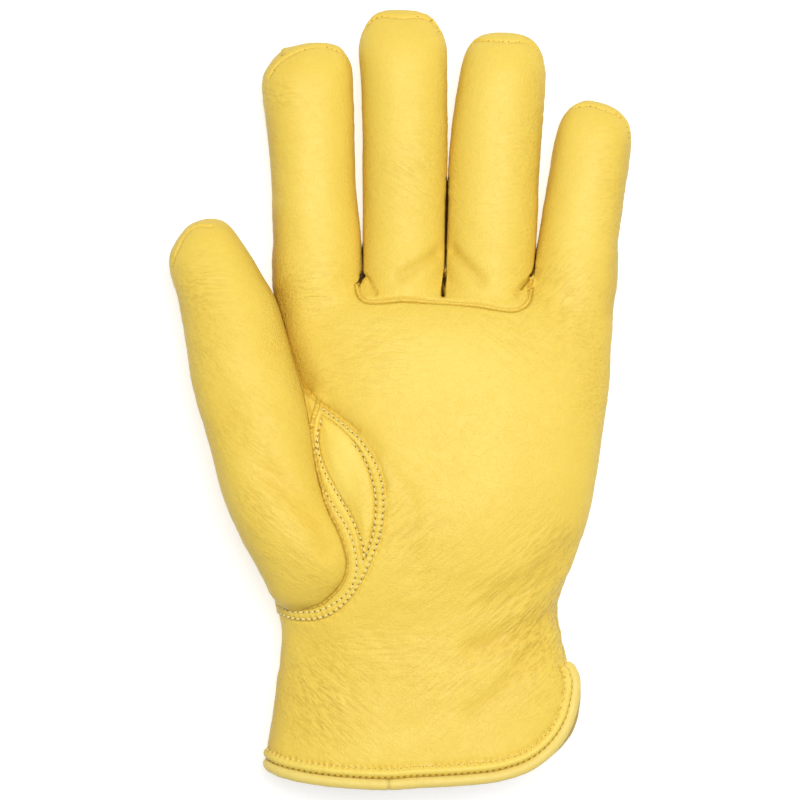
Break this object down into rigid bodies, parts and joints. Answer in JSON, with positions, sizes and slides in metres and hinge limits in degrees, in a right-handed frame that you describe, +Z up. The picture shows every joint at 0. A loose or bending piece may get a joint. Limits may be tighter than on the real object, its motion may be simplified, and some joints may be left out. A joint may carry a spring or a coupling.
{
  "type": "lined driver glove",
  "caption": "Lined grain-leather driver glove for the left hand, palm up, with a gusseted thumb, set-in finger fronts and a rolled cuff with a vent.",
  "frame": {"origin": "on the surface the glove lies on, under the middle of its outline", "axes": "+Z up out of the palm, +Y from the cuff to the fingertips, +X from the thumb's side to the little finger's side"},
  "size_m": [0.154, 0.2603, 0.046],
  "materials": {
    "grain_leather": "smooth grain, soft sheen",
    "bead_leather": "turned seam, matt",
    "binding_leather": "smooth, soft sheen"
  },
  "bodies": {
    "root": {"palm_and_back": "grain_leather", "two_finger_front": "grain_leather", "thumb": "grain_leather", "thumb_band": "grain_leather", "thumb_gusset": "grain_leather", "finger_seam_bead": "bead_leather", "thumb_seam_bead": "bead_leather", "cuff_binding_palm": "binding_leather", "cuff_binding_back": "binding_leather"}
  },
  "joints": []
}
